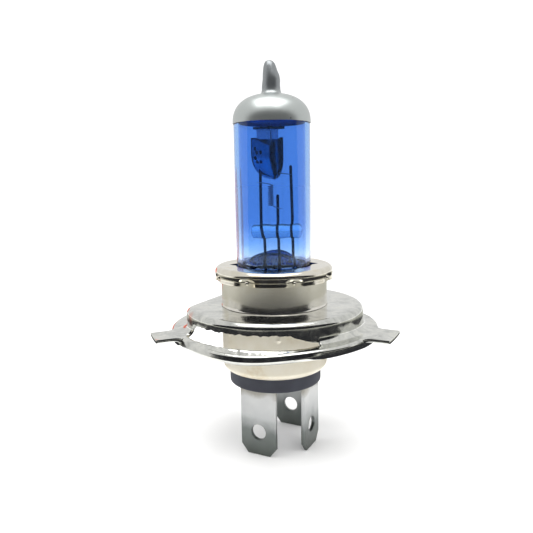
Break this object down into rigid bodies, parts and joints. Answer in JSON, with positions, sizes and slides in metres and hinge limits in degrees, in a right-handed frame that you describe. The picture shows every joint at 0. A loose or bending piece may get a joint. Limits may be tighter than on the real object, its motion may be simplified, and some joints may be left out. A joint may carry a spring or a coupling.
{
  "type": "headlight bulb",
  "caption": "Halogen headlight bulb with a blue glass envelope, silver dome, pressed pre-focus flange with lugs, and flat terminal blades.",
  "frame": {"origin": "on the bulb axis, in the plane of the lugs' seating faces", "axes": "+Z along the bulb axis towards the glass tip, +X towards the reference lug"},
  "size_m": [0.0471, 0.043, 0.079],
  "materials": {
    "blue_glass": "clear blue, polished",
    "clear_glass": "clear, fire polished",
    "silver_paint": "satin silver heat-proof paint on glass",
    "molybdenum": "drawn and stamped molybdenum",
    "tungsten": "drawn tungsten wire",
    "bright_nickel": "bright nickel plate",
    "satin_nickel": "satin nickel plate",
    "zinc_sheet": "pressed and plated steel sheet",
    "warm_nickel": "warm satin nickel plate",
    "black_moulding": "matt moulded thermoset",
    "tinned_steel": "brushed plated blade",
    "lead_wire": "drawn plated wire"
  },
  "bodies": {
    "root": {"glass_envelope": "blue_glass", "glass_bridge": "clear_glass", "silver_dome_coat": "silver_paint", "dip_shield": "molybdenum", "lead_rod_common": "molybdenum", "lead_rod_main": "molybdenum", "lead_rod_dip": "molybdenum", "seal_foil_common": "molybdenum", "seal_foil_main": "molybdenum", "seal_foil_dip": "molybdenum", "main_filament": "tungsten", "dip_filament": "tungsten", "pinch_clamp": "satin_nickel", "collar_cap": "bright_nickel", "upper_sleeve": "satin_nickel", "focusing_flange": "zinc_sheet", "base_shell": "warm_nickel", "insulator": "black_moulding", "terminal_common": "tinned_steel", "terminal_main": "tinned_steel", "terminal_dip": "tinned_steel", "lead_out_common": "lead_wire", "lead_out_main": "lead_wire", "lead_out_dip": "lead_wire"}
  },
  "joints": []
}
